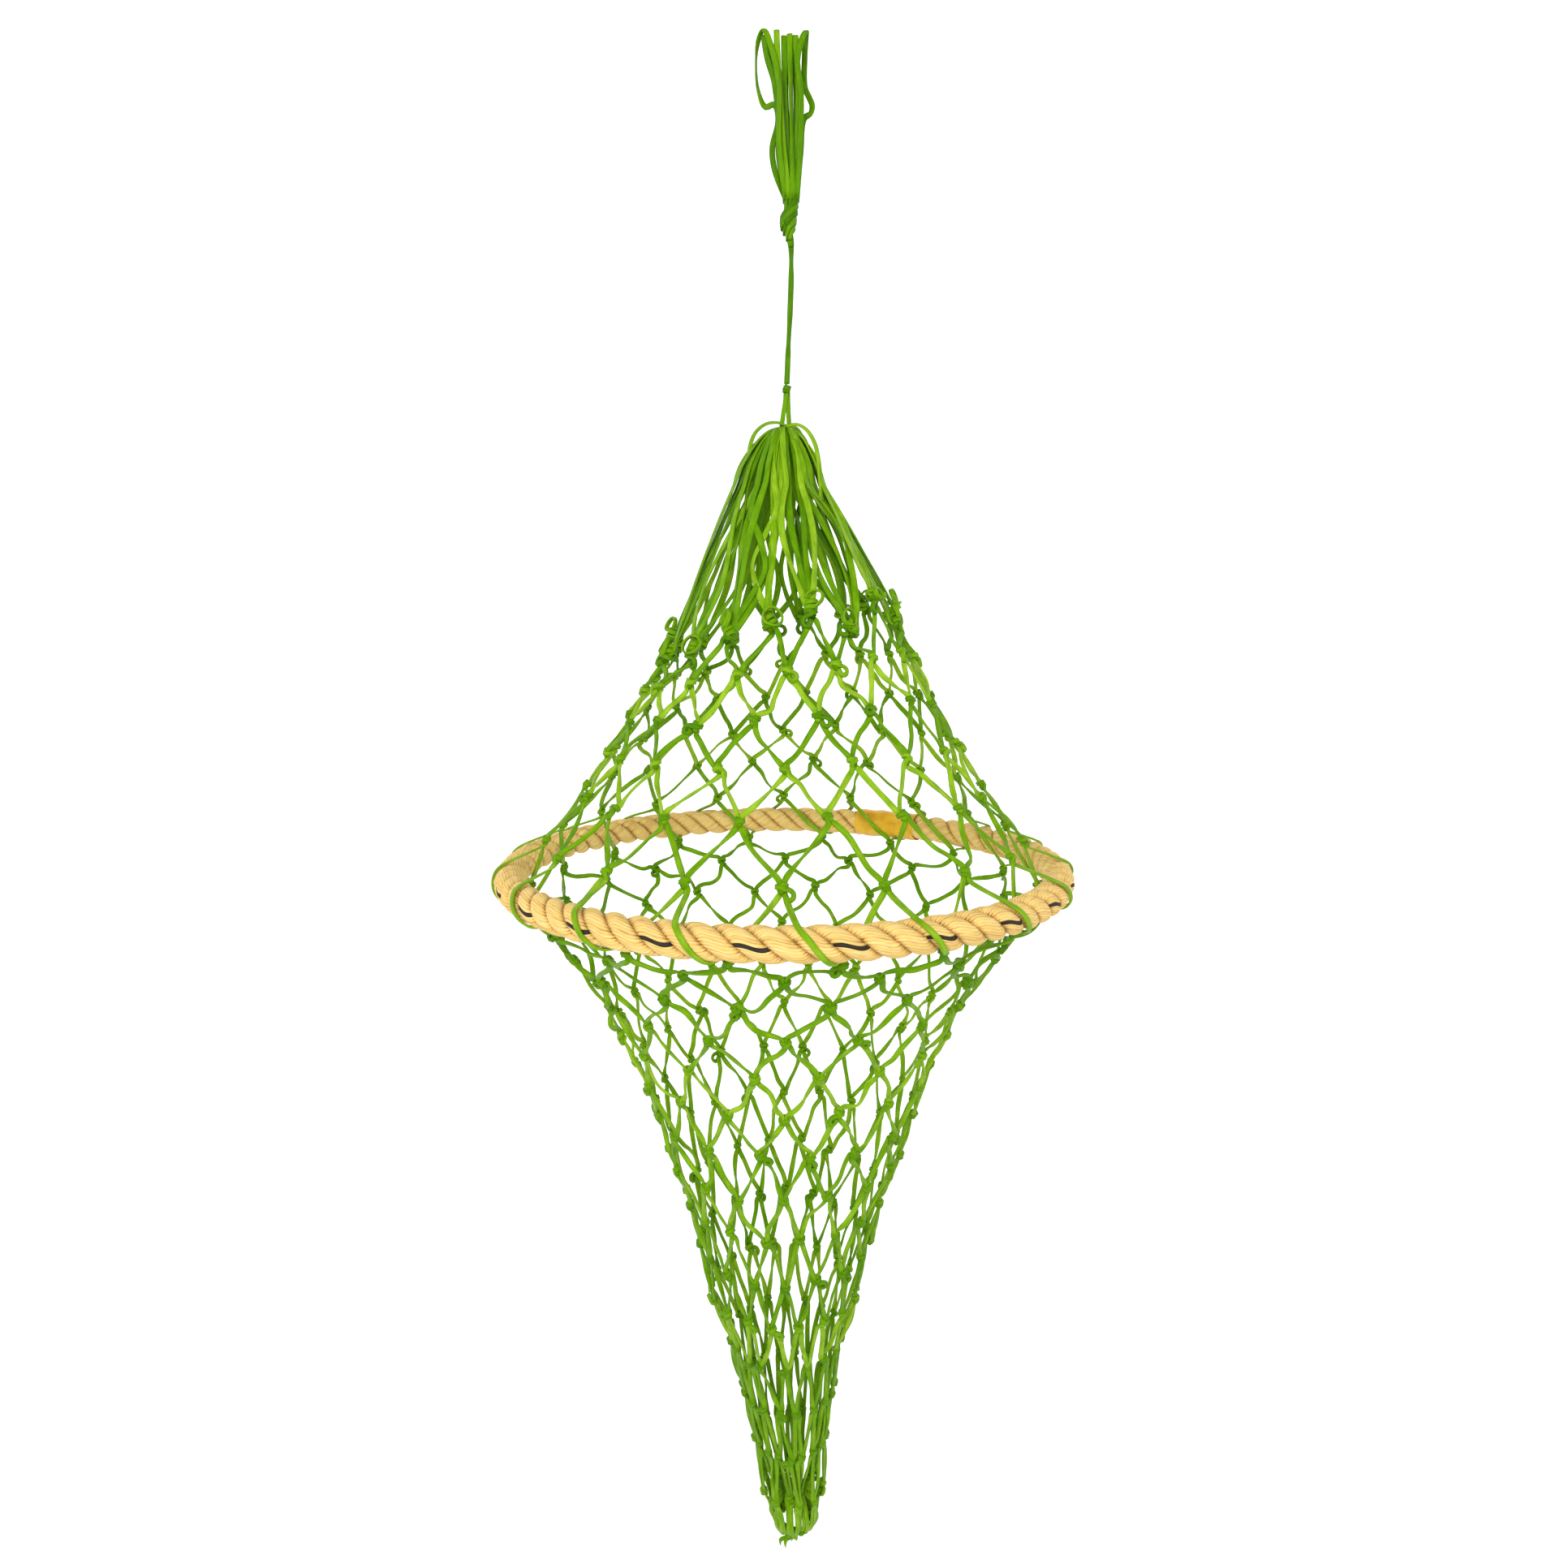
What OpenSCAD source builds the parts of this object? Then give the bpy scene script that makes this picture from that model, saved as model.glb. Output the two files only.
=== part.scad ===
// A hanging cargo climbing net: a knotted cone of flat twine, held open by a rope
// hoop, that narrows into a long tail. Looped ends of the twine hang it from a bar.
// Millimetres. The origin is where the hanging loops sit on the bar, +Z is up, and
// the net's axis is the Z axis. Angles run from +X towards +Y.

/* [Hoop] */
// Radius of the hoop, to the middle of its rope
hoop_r = 170; // [130:1:240]
// Diameter of the three-strand rope
rope_d = 19; // [14:0.5:24]
// Turns of the strands in the whole hoop
rope_turns = 23; // [18:1:34]
// Length of the tape sleeve over the joint in the rope
sleeve_len = 50; // [30:1:80]
// Thickness of the tape sleeve
sleeve_wall = 0.9; // [0.5:0.1:1.5]

/* [Netting] */
// Meshes in each course, an even number
mesh_count = 18; // [14:2:20]
// Thickness of the twine
twine_d = 3.2; // [2.2:0.1:3.6]
// Diameter of a mesh knot
knot_d = 7.6; // [6:0.1:8.4]

/* [Cone above the hoop] */
// Height of the crown above the hoop
cone_h = 271; // [220:1:360]
// Height of the top row of knots above the hoop
top_row_h = 150; // [120:1:190]
// Height of the lowest row of knots above the hoop
collar_h = 22; // [18:1:28]
// Radius of the cone where it leaves the crown
crown_r = 12; // [8:1:16]
// How far the cone flares out just above the hoop
cone_flare = 28; // [0:1:50]

/* [Tail below the hoop] */
// Length of the tail, from the hoop to its cut ends
tail_h = 482; // [380:1:620]
// Height of the tail's end loops and cut ends
end_h = 41; // [35:1:60]
// Radius that the tail narrows to
tail_end_r = 10; // [8:1:20]
// How far the tail flares out just under the hoop
tail_flare = 56; // [30:1:80]
// How far the tail's end hangs to the side of the axis
tail_lean = 7; // [0:0.5:14]

/* [Hanging line] */
// Length of the hanging loops, from the bar to the overhand knot
loop_drop = 90; // [80:1:110]
// Height of the overhand knot
overhand_h = 25; // [20:1:30]
// Length of the single cord between the overhand knot and the small knot
line_h = 80; // [60:1:110]
// Height of the two-strand eye above the crown
eye_h = 22; // [16:1:35]
// Diameter of the single cord
line_d = 3.4; // [2.6:0.1:4]
// Thickness of the hanging loops
loop_d = 2; // [1.4:0.1:2.1]

/* [Hidden] */
$fn = 48;

// Clearances: a small one between pieces that touch, a running one round the rope
touch = 0.1;
running = 0.4;

upper_rows = 6;     // rows of knots above the hoop
tail_rows = 14;     // rows of knots below the row that is tied under the rope
loop_count = 7;

pitch = 360 / mesh_count;
knot_r = knot_d / 2;
twine_r = twine_d / 2;
rope_r = rope_d / 2;
guard_r = rope_r + sleeve_wall + running;    // keeps clear of the rope and its sleeve

// Heights down the hanging line
knot_top_z = -loop_drop;
line_top_z = knot_top_z - overhand_h;
line_end_z = line_top_z - line_h;
crown_z = line_end_z - eye_h;
hoop_z = crown_z - cone_h;
end_z = hoop_z - tail_h;
line_x = 4;         // the overhand knot hangs a little to one side
line_end_x = 1.5;   // the small knot is nearly on the axis
small_knot_d = 5.4;

green = "limegreen";
dark_green = "forestgreen";
rope_tan = "burlywood";
tape_orange = "goldenrod";

// ---- Vectors, tubes and rods ----

function unit(v) = v / norm(v);
function polar(r, a, z) = [r * cos(a), r * sin(a), z];
function tangent(a) = [-sin(a), cos(a), 0];

// A point between b and c on the smooth curve through a, b, c and d
function spline(a, b, c, d, t) = 0.5 * (2 * b + (c - a) * t
    + (2 * a - 5 * b + 4 * c - d) * t * t + (3 * b - a - 3 * c + d) * t * t * t);

// The smooth curve through the points, in steps between each two of them
function smooth(p, steps) = let (n = len(p) - 1)
    [for (i = [0:n - 1]) for (s = [0:steps - 1])
        spline(p[max(i - 1, 0)], p[i], p[i + 1], p[min(i + 2, n)], s / steps),
     p[n]];

function headings(p) = [for (i = [0:len(p) - 1])
    unit(p[min(i + 1, len(p) - 1)] - p[max(i - 1, 0)])];

// Side vectors that turn as little as they can along the curve
function sides(h, side, i = 0) = let (s = unit(side - h[i] * (h[i] * side)))
    i == len(h) - 1 ? [s] : concat([s], sides(h, s, i + 1));

// The faces of a closed tube of rings, each ring listed one way round
function tube_faces(rings, n) = concat(
    [[for (k = [n - 1:-1:0]) k]],
    [for (i = [0:rings - 2]) for (k = [0:n - 1]) for (half = [0, 1])
        let (a = i * n + k, b = i * n + (k + 1) % n)
        half == 0 ? [a, b, a + n] : [b, b + n, a + n]],
    [[for (k = [0:n - 1]) (rings - 1) * n + k]]);

module tube(route, d, start_side, facets = 8) {
    h = headings(route);
    s = sides(h, start_side);
    points = [for (i = [0:len(route) - 1]) for (k = [0:facets - 1])
        route[i] + d / 2 * (s[i] * cos(k * 360 / facets)
            + cross(h[i], s[i]) * sin(k * 360 / facets))];
    polyhedron(points, tube_faces(len(route), facets), convexity = 10);
}

// A straight round rod between two points
module rod(a, b, r) {
    v = b - a;
    translate(a)
        rotate([0, acos(v[2] / norm(v)), atan2(v[1], v[0])])
            cylinder(r = r, h = norm(v));
}

// ---- Shape of the net ----

// The tail's end hangs a little to +X
function axis_at(z) = let (t = (hoop_z - z) / tail_h - 0.6) [tail_lean * max(t, 0) / 0.4, 0, 0];

function cone_radius(z) = let (u = (crown_z - z) / cone_h)
    crown_r + (hoop_r - crown_r - cone_flare) * u + cone_flare * pow(u, 6);

function tail_radius(z) = let (w = 1 - (hoop_z - z) / tail_h)
    tail_end_r + (hoop_r - tail_end_r - tail_flare) * w + tail_flare * pow(w, 6);

// Row 0 is the top row of the cone, and rows 0 to 5 lie above the rope. Row 6 is
// tied under the rope, and rows 7 to 20 go down the tail, wider apart lower down.
tied_row = upper_rows;
last_row = upper_rows + tail_rows;
tied_r = hoop_r + 2.8 - guard_r;
tied_z = hoop_z - guard_r - knot_r * 0.75;

function row_z(row) = row < tied_row
    ? hoop_z + collar_h + (top_row_h - collar_h) * pow((upper_rows - 1 - row) / (upper_rows - 1), 0.9)
    : tied_z - (tail_h - end_h - hoop_z + tied_z) * pow((row - tied_row) / tail_rows, 1.3);

function row_r(row) = row == tied_row ? tied_r
    : row < tied_row ? cone_radius(row_z(row)) : tail_radius(row_z(row));

// The last row is crowded, so every second knot sits further in
stagger = 4.5;
function knot_radius(row, k) = row_r(row) + (row < last_row ? 0 : k % 2 == 0 ? stagger : -stagger);
function knot_angle(row, k) = -90 + pitch * (k + (row % 2 == 0 ? 0.5 : 0));
function knot_at(row, k) = polar(knot_radius(row, k), knot_angle(row, k), row_z(row)) + axis_at(row_z(row));

// Knots of the next row on either side of knot k
function next_knot(row, k, side) = (row % 2 == 0 ? k + (side > 0 ? 1 : 0) : k + (side > 0 ? 0 : -1) + mesh_count)
    % mesh_count;

// ---- Netting ----

module knots(row) {
    for (k = [0:mesh_count - 1])
        translate(knot_at(row, k)) sphere(d = knot_d);
}

// A bar of mesh between two knots, meeting each knot on the side it comes from
bar_seat = knot_r + 3 * touch;
bar_shift = twine_r + 2 * touch;
module bar(a, b, side) {
    h = unit(b - a);
    out = unit([a[0], a[1], 0]);
    t = side * cross([0, 0, 1], out);
    s = t - h * (h * t);
    rod(a + bar_shift * s + bar_seat * h, b - bar_shift * s - bar_seat * h, twine_r);
}

module bars(row) {
    for (k = [0:mesh_count - 1])
        for (side = [-1, 1])
            bar(knot_at(row, k), knot_at(row + 1, next_knot(row, k, side)), side);
}

// Where the strand that passes outside the rope bends, at an angle round the rope
wrap_r = (guard_r + twine_r) / cos(26);
function wrap_at(a, turn) = polar(hoop_r + wrap_r * cos(turn), a, hoop_z + wrap_r * sin(turn));

// A strand of several straight stretches, with a round bend between each two
module strand(p, first_seat, last_seat) {
    n = len(p) - 1;
    seat = twine_r + touch / 2;
    for (i = [0:n - 1]) {
        h = unit(p[i + 1] - p[i]);
        rod(p[i] + h * (i == 0 ? first_seat : seat), p[i + 1] - h * (i == n - 1 ? last_seat : seat), twine_r);
    }
    for (i = [1:n - 1])
        translate(p[i]) sphere(r = twine_r);
}

// From each knot above the rope, one strand passes inside it and one outside
module hoop_course() {
    row = upper_rows - 1;
    color(green) {
        knots(row);
        knots(tied_row);
        for (k = [0:mesh_count - 1]) {
            a = knot_angle(row, k);
            top = knot_at(row, k);
            bar(top, knot_at(tied_row, next_knot(row, k, -1)), -1);
            strand([top,
                    wrap_at(a + pitch * 0.15, 43),
                    wrap_at(a + pitch * 0.27, -8),
                    wrap_at(a + pitch * 0.38, -59),
                    knot_at(tied_row, next_knot(row, k, 1))], bar_seat, bar_seat);
        }
    }
}

module cone_course(k) {
    color(green) {
        knots(k - 1);
        bars(k - 1);
    }
}

module tail_course(k) {
    color(green) {
        bars(tied_row + k - 1);
        knots(tied_row + k);
    }
}

// ---- Crown ----

seizing_r = 22;
seizing_h = 11;

// The binding that gathers the strands under the eye
module crown_seizing() {
    color(dark_green)
        translate([0, 0, crown_z])
            rotate_extrude()
                polygon([[0, 0], [5, 0], [seizing_r, 2 - seizing_h], [seizing_r, -seizing_h], [0, -seizing_h]]);
}

// Two strands from the crown to each knot of the top row
module clew_strands() {
    top_z = crown_z - seizing_h - touch;
    color(green)
        for (k = [0:mesh_count - 1])
            for (side = [-1, 1]) {
                a = knot_angle(0, k);
                low = knot_at(0, k);
                top = polar(side > 0 ? seizing_r - 9 : seizing_r - 2.2, a + side * 4, top_z);
                h = unit(low - top);
                // each strand starts whole under the seizing, so its top is lowered by its tilt
                start = top + h * twine_r * norm([h[0], h[1]]);
                rod(start, low + side * bar_shift * tangent(a) - bar_seat * h, twine_r);
            }
}

// The two strands of the eye between the small knot and the crown
module crown_eye() {
    color(green)
        for (side = [-1, 1])
            rod([line_end_x + side * 1.7, 0, line_end_z - small_knot_d / 2 - touch],
                [side * 2.6, 0, crown_z + 3 * touch], twine_r);
}

// ---- Hanging line ----

// The knot in the bundle of loops, narrowing to the single cord
module overhand_knot() {
    color(dark_green)
        translate([line_x, 0, line_top_z])
            rotate_extrude()
                polygon([[0, 0], [2, 0], [3, overhand_h * 0.28], [5.2, overhand_h * 0.44],
                         [5.6, overhand_h * 0.6], [4.6, overhand_h * 0.76], [5.4, overhand_h],
                         [0, overhand_h]]);
}

// Route of the single cord, as fractions of its length below the overhand knot and
// its distance to +X
line_route = [[4, 0], [4.1, 0.1], [4, 0.25], [3.6, 0.4], [3.1, 0.55], [2.5, 0.7], [2, 0.85], [1.5, 1]];

module drop_cord() {
    long = line_h - small_knot_d / 2 - 2 * touch;
    color(green)
        tube(smooth([for (p = line_route) [p[0], 0, line_top_z - touch - p[1] * long]], 2),
             line_d, [1, 0, 0]);
}

module line_knot() {
    color(dark_green)
        translate([line_end_x, 0, line_end_z]) sphere(d = small_knot_d);
}

// Routes of the hanging loops over the bar, each from the front of the overhand knot
// to its back. Height is counted down from the bar in parts of the loops' length.
loop_routes = [
    [[-3.2, -6, 60], [-3.2, -8.2, 30], [-8, -6, 8], [-12, -3, -1], [-15, 1, 3], [-16.4, 4, 14],
     [-15, 5.4, 28], [-11, 6, 36], [-6, 5, 35], [-4, 4.4, 45], [-3.8, 4.4, 62]],
    [[-5.6, -3.4, 74], [-7, -3.2, 62], [-3.6, -3.6, 48], [-5.6, -4.2, 28], [-10, -4.4, 14], [-11.6, -2.4, 2],
     [-10.4, 2.4, 2], [-7.4, 6.4, 14], [-4.4, 7.4, 32], [-1, 5.6, 62]],
    [[-0.4, -4.4, 62], [-2.4, -5.4, 32], [-4.2, -5.2, 8], [-4.4, -2.6, -0.6], [-4.4, 2.6, -0.6], [-4.2, 5.2, 8],
     [-1.4, 4.6, 32], [0.6, 2.4, 62]],
    [[2, -2, 62], [0.4, -5.6, 32], [-0.2, -5.2, 9], [-0.2, -2.6, 2.4], [-0.2, 2.6, 2.4], [0, 5.2, 9],
     [1.2, 5.6, 32], [2.8, 4.6, 62]],
    [[4.4, -4.6, 62], [3.6, -4.6, 32], [3, -5.2, 9], [3, -2.6, 1.4], [3, 2.6, 1.4], [3.2, 5.2, 9],
     [4, 4.4, 32], [4.6, 2.2, 62]],
    [[6.8, -2, 62], [8, -4.4, 40], [8, -4.8, 24], [6.6, -5.2, 9], [6.4, -2.6, 2.2], [6.4, 2.6, 2.2],
     [6.6, 5.2, 9], [7, 5.4, 32], [6.8, 4.6, 62]],
    [[9, -4, 62], [9.4, -6.6, 32], [7.4, -7.6, 18], [10.4, -5.6, 4], [12.4, -2.4, -0.4], [12.4, 2.4, 0],
     [11.8, 5, 9], [12, 5, 26], [14.6, 4.2, 32], [16.2, 2.4, 37], [15, 0.6, 42], [11.6, 1.6, 44],
     [9.6, 2, 62]]];

// Each leg enters the overhand knot at its own place in a block of four by four
leg_pitch = loop_d + 2 * touch;
function leg_end(n) = [line_x + leg_pitch * (floor(n / 4) - 1.5), leg_pitch * (n % 4 - 1.5), knot_top_z + 4 * touch];

module hanging_loop(k) {
    route = [for (p = loop_routes[k - 1]) [p[0], p[1], -p[2] * loop_drop / 90]];
    column = floor((k - 1) / 2) * 4 + (k - 1) % 2;
    color(green)
        tube(smooth(concat([leg_end(column)], route, [leg_end(column + 2)]), 3), loop_d, [1, 0, 0]);
}

// ---- Hoop rope ----

// Three round strands laid together fill the rope's diameter
strand_r = rope_r / (1 + 2 / sqrt(3)) - touch / 2;
strand_offset = rope_r - strand_r - touch / 2;
sleeve_arc = sleeve_len / hoop_r * 180 / PI;
sleeve_mid = 61.5;
steps_per_turn = 8;

// Both ends of the rope meet inside the sleeve
module rope_strand(k) {
    steps = rope_turns * steps_per_turn;
    gap = 0.1;
    n = 8;
    points = [for (i = [0:steps]) for (j = [0:n - 1])
        let (a = sleeve_mid + gap + (360 - 2 * gap) * i / steps,
             lay = 120 * k - 360 * i / steps_per_turn,
             round = lay + 360 * j / n,
             r = hoop_r + strand_offset * cos(lay) + strand_r * cos(round),
             z = strand_offset * sin(lay) + strand_r * sin(round))
        polar(r, a, hoop_z + z)];
    color(rope_tan)
        polyhedron(points, [for (f = tube_faces(steps + 1, n)) [for (i = [len(f) - 1:-1:0]) f[i]]],
                   convexity = 20);
}

module tape_sleeve() {
    color(tape_orange)
        translate([0, 0, hoop_z])
            rotate([0, 0, sleeve_mid - sleeve_arc / 2])
                rotate_extrude(angle = sleeve_arc)
                    translate([hoop_r, 0])
                        difference() {
                            circle(r = rope_r + sleeve_wall);
                            circle(r = rope_r + touch / 2);
                        }
}

// ---- End of the tail ----

cord_ring_r = 8.8;
cord_z = end_z + 12;
end_axis = axis_at(end_z);

// The last loop of each knot runs down to the closing cord
module end_loops() {
    color(green)
        for (k = [0:mesh_count - 1]) {
            a = knot_angle(last_row, k);
            top = knot_at(last_row, k);
            low = polar(cord_ring_r + (k % 2 == 0 ? 2.3 : -2.3), a, cord_z + twine_r * 2.19) + end_axis;
            h = unit(low - top);
            rod(top + bar_seat * h, low, twine_r);
        }
}

// The twine that draws the end loops together
closing_a = -110;
closing_at = polar(cord_ring_r, closing_a, cord_z - knot_r - touch) + end_axis;
module closing_cord() {
    color(dark_green)
        translate([end_axis[0], 0, cord_z + twine_r])
            rotate_extrude()
                translate([cord_ring_r, 0]) circle(r = twine_r);
}

module closing_knot() {
    color(dark_green)
        translate(closing_at) sphere(d = knot_d);
}

// The twine's trimmed ends under its knot
module cut_ends() {
    top_z = closing_at[2] - knot_r - touch;
    color(green)
        for (side = [-1, 1])
            rod([closing_at[0] + side * 1.3, closing_at[1], top_z],
                [closing_at[0] + side * 2.6, closing_at[1] + side, end_z], 1);
}

// ---- Drawing ----

for (k = [1:loop_count])
    hanging_loop(k);
overhand_knot();
drop_cord();
line_knot();
crown_eye();
crown_seizing();
clew_strands();
for (k = [1:upper_rows - 1])
    cone_course(k);
hoop_course();
for (k = [1:3])
    rope_strand(k);
tape_sleeve();
for (k = [1:tail_rows])
    tail_course(k);
end_loops();
closing_cord();
closing_knot();
cut_ends();
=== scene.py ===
"""Looks of the cargo climbing net: flat green twine, knotted mesh, a laid rope hoop and its tape sleeve.

Lengths are in millimetres until a mesh is made, where MM turns them into the frame's metres.
"""

import math

import bpy
import numpy as np
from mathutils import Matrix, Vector


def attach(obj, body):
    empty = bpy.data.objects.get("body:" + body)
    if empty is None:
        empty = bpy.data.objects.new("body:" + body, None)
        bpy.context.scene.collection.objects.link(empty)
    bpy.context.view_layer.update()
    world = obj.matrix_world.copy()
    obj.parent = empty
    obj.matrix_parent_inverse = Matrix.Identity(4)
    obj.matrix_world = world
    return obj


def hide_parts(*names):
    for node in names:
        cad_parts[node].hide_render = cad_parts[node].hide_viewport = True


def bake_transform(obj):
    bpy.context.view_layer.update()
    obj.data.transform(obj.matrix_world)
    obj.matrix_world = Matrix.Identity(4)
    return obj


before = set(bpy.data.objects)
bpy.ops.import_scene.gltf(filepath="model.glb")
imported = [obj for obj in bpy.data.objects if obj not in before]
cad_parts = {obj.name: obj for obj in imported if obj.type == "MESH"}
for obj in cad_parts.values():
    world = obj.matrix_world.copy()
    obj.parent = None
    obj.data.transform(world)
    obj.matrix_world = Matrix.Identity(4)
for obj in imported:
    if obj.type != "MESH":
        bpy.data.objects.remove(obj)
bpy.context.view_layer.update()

MM = 0.001
rng = np.random.default_rng(11)

# ---- Sizes that the looks share with the frame ----

mesh_count = 18  # knots round each row
pitch = 360 / mesh_count
hoop_row = 5  # rows of knots are counted down from 0. This one is just above the rope
last_row = 20  # the end loops hang from it
hoop_z = -488  # plane of the rope hoop
hoop_r = 170  # to the middle of the rope
rope_r = 9.5
rope_turns = 23
crown_z = -217  # where all strands gather
knot_top_z = -90  # top of the knot in the hanging loops
line_top_z = -115  # that knot's lower end, where the drop cord starts
line_knot_z = -195
end_z = -970  # the net's lowest point
sleeve_mid = 61.5  # azimuth of the tape sleeve
sleeve_half_arc = 8.42
hoop_travel = 10  # how far the rope can slide round in its strands, in degrees

# ---- Camera ----


def add_object(name, data):
    """Makes an object of the data, in the scene."""
    thing = bpy.data.objects.new(name, data)
    bpy.context.collection.objects.link(thing)
    return thing


camera_data = bpy.data.cameras.new("camera")
camera_data.lens = 24.71
camera_data.sensor_width = 36
camera = add_object("camera", camera_data)
camera.location = (-0.0002, -0.6732, -0.3357)
camera.rotation_euler = (math.radians(81.644), 0, 0)
bpy.context.scene.camera = camera


# ---- Vectors and curves ----

x_axis, y_axis, z_axis = np.eye(3)


def vector(x, y, z):
    return np.array([x, y, z], float)


def unit(v):
    return v / max(np.linalg.norm(v), 1e-9)


def polar(r, a, z):
    """The point at radius r and azimuth a in degrees."""
    return vector(r * math.cos(math.radians(a)), r * math.sin(math.radians(a)), z)


def turned(v, axis, degrees):
    """v turned about a unit axis."""
    c, s = math.cos(math.radians(degrees)), math.sin(math.radians(degrees))
    return v * c + np.cross(axis, v) * s + axis * np.dot(axis, v) * (1 - c)


def smooth(rows, spacing, most, least=2):
    """Rows of values along one smooth curve through the given rows, which start with their place.

    Between two given rows lie at least and at most so many steps, of about the spacing."""
    rows = np.asarray(rows, float)
    ends = np.vstack([2 * rows[0] - rows[1], rows, 2 * rows[-1] - rows[-2]])
    gaps = np.maximum(np.linalg.norm(np.diff(ends[:, :3], axis=0), axis=1), 1e-4)
    times = np.concatenate([[0], np.cumsum(np.sqrt(gaps))])[:, None]
    before = np.diff(ends, axis=0)[:-1] / np.diff(times, axis=0)[:-1]
    after = np.diff(ends, axis=0)[1:] / np.diff(times, axis=0)[1:]
    across = (ends[2:] - ends[:-2]) / (times[2:] - times[:-2])
    slopes = before - across + after
    out = []
    for i in range(len(rows) - 1):
        steps = int(np.clip(round(gaps[i + 1] / spacing), least, most))
        t = (np.arange(steps) / steps)[:, None]
        dt = times[i + 2] - times[i + 1]
        out.append((2 * t**3 - 3 * t**2 + 1) * rows[i] + (t**3 - 2 * t**2 + t) * dt * slopes[i]
                   + (3 * t**2 - 2 * t**3) * rows[i + 1] + (t**3 - t**2) * dt * slopes[i + 1])
    out.append(rows[-1:])
    return np.vstack(out)


# ---- Meshes and pieces ----

def smooth_mesh(name, places, faces, across, along):
    """A mesh in smooth shading. Across and along are the UV map of its quads, which come before its caps."""
    data = bpy.data.meshes.new(name)
    data.from_pydata((places * MM).tolist(), [], faces)
    uv = np.zeros((len(data.loops), 2))
    uv[:len(across), 0] = across
    uv[:len(along), 1] = along * MM
    data.uv_layers.new(name="UVMap").data.foreach_set("uv", uv.ravel())
    data.polygons.foreach_set("use_smooth", [True] * len(data.polygons))
    return data


def grid(n, m, first=0):
    """The numbers of a tube's points, in n rings of m, and those of their neighbours in the ring."""
    index = first + np.arange(n * m).reshape(n, m)
    return index, np.roll(index, -1, axis=1)


def corners(first, second, third, fourth):
    """The values at the four corners of each quad, in one row."""
    return np.stack([first, second, third, fourth], axis=2).reshape(-1)


def add_values(data, label, values):
    """Gives each point of a mesh a value that its material reads."""
    data.attributes.new(label, "FLOAT", "POINT").data.foreach_set("value", values)


def place_piece(name, data, material, node):
    """Links a piece that stands for a CAD node. Its caller makes it ride on a body, or bakes its placing into
    its mesh.
    """
    piece = add_object(name, data)
    data.materials.append(material)
    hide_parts(node)
    return piece


# ---- Ribbons ----

def point(place, normal, width, thick, tight=0.0):
    """One control row of a ribbon: where it is, which way its flat side faces, its section, and how much
    shade is painted on it.
    """
    return np.concatenate([place, normal, [width, thick, tight]])


class Strips:
    """Collects ribbons and makes one mesh of them."""

    def __init__(self, facets=10):
        self.facets = facets
        self.places, self.quads, self.caps = [], [], []
        self.across, self.along, self.tight, self.strand = [], [], [], []
        self.count = 0

    def section(self):
        """A flat section with round edges and a furrow down its middle, from -0.5 to 0.5 each way."""
        turn = 2 * np.pi * (np.arange(self.facets) + 0.5) / self.facets
        across = np.sign(np.cos(turn)) * np.abs(np.cos(turn)) ** 0.75 / 2
        lift = np.sign(np.sin(turn)) * np.abs(np.sin(turn)) ** 0.75 / 2
        return across, lift * (1 - 0.3 * np.exp(-((across / 0.14) ** 2)))

    def add(self, rows, tone=None):
        """Adds one ribbon that follows the sampled rows. Returns the line that it follows."""
        n, m = len(rows), self.facets
        places = rows[:, :3]
        headings = np.gradient(places, axis=0)
        headings /= np.maximum(np.linalg.norm(headings, axis=1), 1e-9)[:, None]
        normals = rows[:, 3:6].copy()
        last = z_axis
        for i in range(n):
            flat = normals[i] - headings[i] * np.dot(headings[i], normals[i])
            if np.linalg.norm(flat) < 0.25:
                flat = 0.3 * flat + last - headings[i] * np.dot(headings[i], last)
            last = unit(flat)
            normals[i] = last
        sides = np.cross(headings, normals)
        across, lift = self.section()
        skin = (places[:, None] + sides[:, None] * (rows[:, 6, None] * across)[:, :, None]
                + normals[:, None] * (rows[:, 7, None] * lift)[:, :, None])
        index, right = grid(n, m, self.count)
        quads = corners(index[:-1], right[:-1], right[1:], index[1:]).reshape(-1, 4)
        length = np.concatenate([[0], np.cumsum(np.linalg.norm(np.diff(places, axis=0), axis=1))])
        low_u = np.broadcast_to(np.arange(m) / m, (n - 1, m))
        high_u = low_u + 1 / m
        low_v = np.broadcast_to(length[:-1, None], (n - 1, m))
        high_v = np.broadcast_to(length[1:, None], (n - 1, m))
        self.across.append(corners(low_u, high_u, high_u, low_u))
        self.along.append(corners(low_v, low_v, high_v, high_v))
        self.places.append(skin.reshape(-1, 3))
        self.quads.append(quads)
        self.caps += [index[0, ::-1].tolist(), index[-1].tolist()]
        self.tight.append(np.repeat(rows[:, 8], m))
        self.strand.append(np.full(n * m, rng.random() if tone is None else tone))
        self.count += n * m
        return places

    def mesh(self, name):
        data = smooth_mesh(name, np.vstack(self.places), np.vstack(self.quads).tolist() + self.caps,
                           np.concatenate(self.across), np.concatenate(self.along))
        add_values(data, "tight", np.concatenate(self.tight))
        add_values(data, "strand", np.concatenate(self.strand))
        return data


def ribbon_piece(strips, name, material, node):
    return place_piece(name, strips.mesh(name), material, node)


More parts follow.
